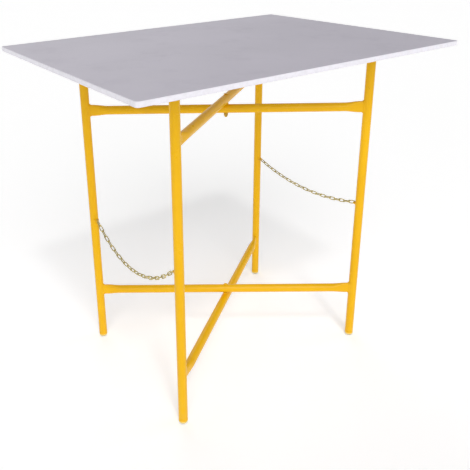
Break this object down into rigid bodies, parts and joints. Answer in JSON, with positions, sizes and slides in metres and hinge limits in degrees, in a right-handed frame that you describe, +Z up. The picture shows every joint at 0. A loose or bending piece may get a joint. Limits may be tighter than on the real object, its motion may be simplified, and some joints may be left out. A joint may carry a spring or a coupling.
{
  "type": "folding table",
  "caption": "Folding table: a thin rectangular board lying on a yellow round-tube scissor base that pivots about an upright axis and is checked by two slack chains.",
  "frame": {"origin": "on the floor at the centre of the board's plan, on the pivot axis of the base", "axes": "+Z up; X along the board's long sides; -Y is the long side nearest the viewer"},
  "size_m": [0.8, 0.6, 0.758],
  "materials": {
    "laminate": "matt white laminate",
    "yellow_paint": "semi-gloss powder coat",
    "plug": "moulded, matt",
    "painted_steel": "yellow paint, worn on the edges",
    "chain": "yellow-passivated zinc"
  },
  "bodies": {
    "frame_a": {"upright_left": "yellow_paint", "foot_left": "plug", "cap_left": "plug", "eye_left": "painted_steel", "upright_right": "yellow_paint", "foot_right": "plug", "cap_right": "plug", "eye_right": "painted_steel", "rail_a_upper": "yellow_paint", "weld_a_upper_left": "yellow_paint", "weld_a_upper_right": "yellow_paint", "bolt_upper": "painted_steel", "spacer_upper": "painted_steel", "nut_upper": "painted_steel", "rail_a_lower": "yellow_paint", "weld_a_lower_left": "yellow_paint", "weld_a_lower_right": "yellow_paint", "bolt_lower": "painted_steel", "spacer_lower": "painted_steel", "nut_lower": "painted_steel"},
    "frame_b": {"upright_front": "yellow_paint", "foot_front": "plug", "cap_front": "plug", "eye_front": "painted_steel", "upright_back": "yellow_paint", "foot_back": "plug", "cap_back": "plug", "eye_back": "painted_steel", "rail_b_upper": "yellow_paint", "weld_b_upper_front": "yellow_paint", "weld_b_upper_back": "yellow_paint", "rail_b_lower": "yellow_paint", "weld_b_lower_front": "yellow_paint", "weld_b_lower_back": "yellow_paint"},
    "tabletop": {"board": "laminate"},
    "chain_left_a_upper": {"chain_left_a_upper": "chain"},
    "chain_left_a_lower": {"chain_left_a_lower": "chain"},
    "chain_left_bottom": {"chain_left_bottom": "chain"},
    "chain_left_b_lower": {"chain_left_b_lower": "chain"},
    "chain_left_b_upper": {"chain_left_b_upper": "chain"},
    "chain_right_a_upper": {"chain_right_a_upper": "chain"},
    "chain_right_a_lower": {"chain_right_a_lower": "chain"},
    "chain_right_bottom": {"chain_right_bottom": "chain"},
    "chain_right_b_lower": {"chain_right_b_lower": "chain"},
    "chain_right_b_upper": {"chain_right_b_upper": "chain"}
  },
  "joints": [
    {"name": "base_fold", "type": "hinge", "parent": "frame_a", "child": "frame_b", "pos_m": [0, 0, 0.374], "axis": [0, 0, 1], "range_deg": [-63, 1], "deforming": ["chain_left_a_upper", "chain_left_a_lower", "chain_left_bottom", "chain_left_b_lower", "chain_left_b_upper", "chain_right_a_upper", "chain_right_a_lower", "chain_right_bottom", "chain_right_b_lower", "chain_right_b_upper"]},
    {"name": "board_lift_off", "type": "slide", "parent": "frame_a", "child": "tabletop", "axis": [0, 0, 1], "range_m": [0, 0.08]},
    {"name": "chain_left_a_eye", "type": "hinge", "parent": "frame_a", "child": "chain_left_a_upper", "pos_m": [-0.26003, 0.16951, 0.338], "axis": [0.8746, -0.2467, -0.4174], "range_deg": [-1.38, 68.39]},
    {"name": "chain_left_a_middle", "type": "hinge", "parent": "chain_left_a_upper", "child": "chain_left_a_lower", "pos_m": [-0.26003, 0.08767, 0.29283], "axis": [-1, 0, 0], "range_deg": [-20.12, 0.61]},
    {"name": "chain_left_bottom_a", "type": "hinge", "parent": "chain_left_a_lower", "child": "chain_left_bottom", "pos_m": [-0.26003, 0.0108, 0.28056], "axis": [-1, 0, 0], "range_deg": [-1.53, 78.1]},
    {"name": "chain_left_b_eye", "type": "hinge", "parent": "frame_b", "child": "chain_left_b_upper", "pos_m": [-0.26003, -0.16951, 0.364], "axis": [-0.8485, -0.2393, 0.4719], "range_deg": [-1.28, 62.03]},
    {"name": "chain_left_b_middle", "type": "hinge", "parent": "chain_left_b_upper", "child": "chain_left_b_lower", "pos_m": [-0.26003, -0.09408, 0.30859], "axis": [-1, 0, 0], "range_deg": [-0.61, 19.68]},
    {"name": "chain_right_a_eye", "type": "hinge", "parent": "frame_a", "child": "chain_right_a_upper", "pos_m": [0.26003, -0.16951, 0.368], "axis": [-0.9127, 0.2574, -0.3174], "range_deg": [-1.62, 83.55]},
    {"name": "chain_right_a_middle", "type": "hinge", "parent": "chain_right_a_upper", "child": "chain_right_a_lower", "pos_m": [0.26003, -0.09303, 0.35173], "axis": [1, 0, 0], "range_deg": [-8.11, 0.42]},
    {"name": "chain_right_bottom_a", "type": "hinge", "parent": "chain_right_a_lower", "child": "chain_right_bottom", "pos_m": [0.26003, -0.01505, 0.34601], "axis": [1, 0, 0], "range_deg": [-1.65, 85.61]},
    {"name": "chain_right_b_eye", "type": "hinge", "parent": "frame_b", "child": "chain_right_b_upper", "pos_m": [0.26003, 0.16951, 0.376], "axis": [0.9095, 0.2565, 0.3271], "range_deg": [-1.59, 81.84]},
    {"name": "chain_right_b_middle", "type": "hinge", "parent": "chain_right_b_upper", "child": "chain_right_b_lower", "pos_m": [0.26003, 0.07844, 0.35349], "axis": [1, 0, 0], "range_deg": [-0.43, 8.79]}
  ],
  "couplings": [
    {"joint": "chain_left_a_eye", "follows": "base_fold", "ratio": -1.0808},
    {"joint": "chain_left_a_middle", "follows": "base_fold", "ratio": 0.31459},
    {"joint": "chain_left_bottom_a", "follows": "base_fold", "ratio": -1.235},
    {"joint": "chain_left_b_eye", "follows": "base_fold", "ratio": -0.9798},
    {"joint": "chain_left_b_middle", "follows": "base_fold", "ratio": -0.3076},
    {"joint": "chain_right_a_eye", "follows": "base_fold", "ratio": -1.3215},
    {"joint": "chain_right_a_middle", "follows": "base_fold", "ratio": 0.12402},
    {"joint": "chain_right_bottom_a", "follows": "base_fold", "ratio": -1.3541},
    {"joint": "chain_right_b_eye", "follows": "base_fold", "ratio": -1.2943},
    {"joint": "chain_right_b_middle", "follows": "base_fold", "ratio": -0.13482}
  ]
}
